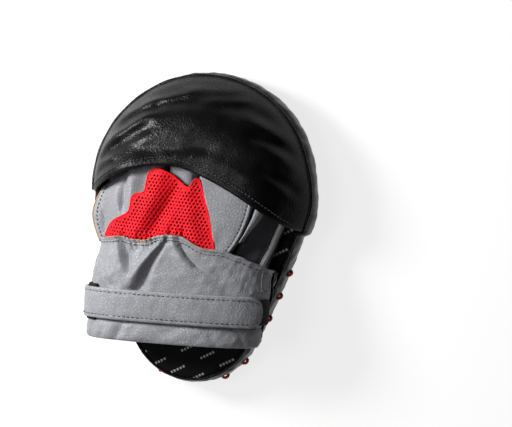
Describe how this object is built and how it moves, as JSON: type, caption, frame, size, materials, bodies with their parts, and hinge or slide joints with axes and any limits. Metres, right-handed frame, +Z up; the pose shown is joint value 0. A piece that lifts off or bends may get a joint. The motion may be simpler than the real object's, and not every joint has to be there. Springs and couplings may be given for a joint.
{
  "type": "focus mitt",
  "caption": "left-hand boxing focus mitt: curved padded target with a finger hood, knuckle mesh, finger stalls and a hook-and-loop wrist strap that peels open",
  "frame": {"origin": "on the surface that the striking face lies on, below the middle of the mitt's bounding box", "axes": "+Z up through the back of the hand, +Y to the finger end, +X to the thumb side of a left-hand mitt"},
  "size_m": [0.198, 0.271, 0.0879],
  "materials": {
    "grey_leather": "mid-grey pebbled leather, satin",
    "dark_leather": "dark grey pebbled leather, satin",
    "black_leather": "black smooth-grain leather, semi-gloss",
    "red_leather": "red leather, satin",
    "red_mesh": "red knitted air mesh with round holes",
    "red_thread": "red waxed lacing thread",
    "lining_cloth": "black woven lining cloth, matte",
    "loop_tape": "black loop tape, fuzzy",
    "hook_tape": "black hook tape",
    "elastic": "black ribbed elastic",
    "gel": "soft impact gel, translucent green",
    "soft_foam": "soft open-cell foam",
    "firm_foam": "firm closed-cell foam"
  },
  "bodies": {
    "mitt": {"face_panel": "grey_leather", "target_disc": "red_leather", "gel_layer": "gel", "face_foam": "soft_foam", "core_foam": "firm_foam", "rim_cover": "black_leather", "side_gusset": "black_leather", "back_lining": "lining_cloth", "side_lacing_thumb": "red_thread", "side_lacing_outer": "red_thread", "finger_hood": "black_leather", "hood_lining": "lining_cloth", "little_finger_stall": "grey_leather", "ring_finger_stall": "grey_leather", "middle_finger_stall": "grey_leather", "index_finger_stall": "grey_leather", "thumb_stall": "dark_leather", "knuckle_mesh": "red_mesh", "outer_side_panel": "grey_leather", "cuff_panel": "grey_leather", "cuff_lining": "lining_cloth", "cuff_roll": "grey_leather", "wrist_gusset_thumb": "black_leather", "wrist_gusset_outer": "black_leather", "cuff_tab": "grey_leather", "loop_patch": "loop_tape", "strap_elastic": "elastic", "strap_anchor": "grey_leather"},
    "strap_band": {"strap_band": "grey_leather"},
    "strap_tip": {"strap_tip": "grey_leather", "hook_patch": "hook_tape"}
  },
  "joints": [
    {"name": "strap_peel", "type": "hinge", "parent": "mitt", "child": "strap_band", "pos_m": [-0.08067, -0.06861, 0.0739], "axis": [0, -1, 0], "range_deg": [0, 120]},
    {"name": "tip_peel", "type": "hinge", "parent": "strap_band", "child": "strap_tip", "pos_m": [-0.01894, -0.067, 0.08776], "axis": [0, -1, 0], "range_deg": [0, 100]}
  ]
}
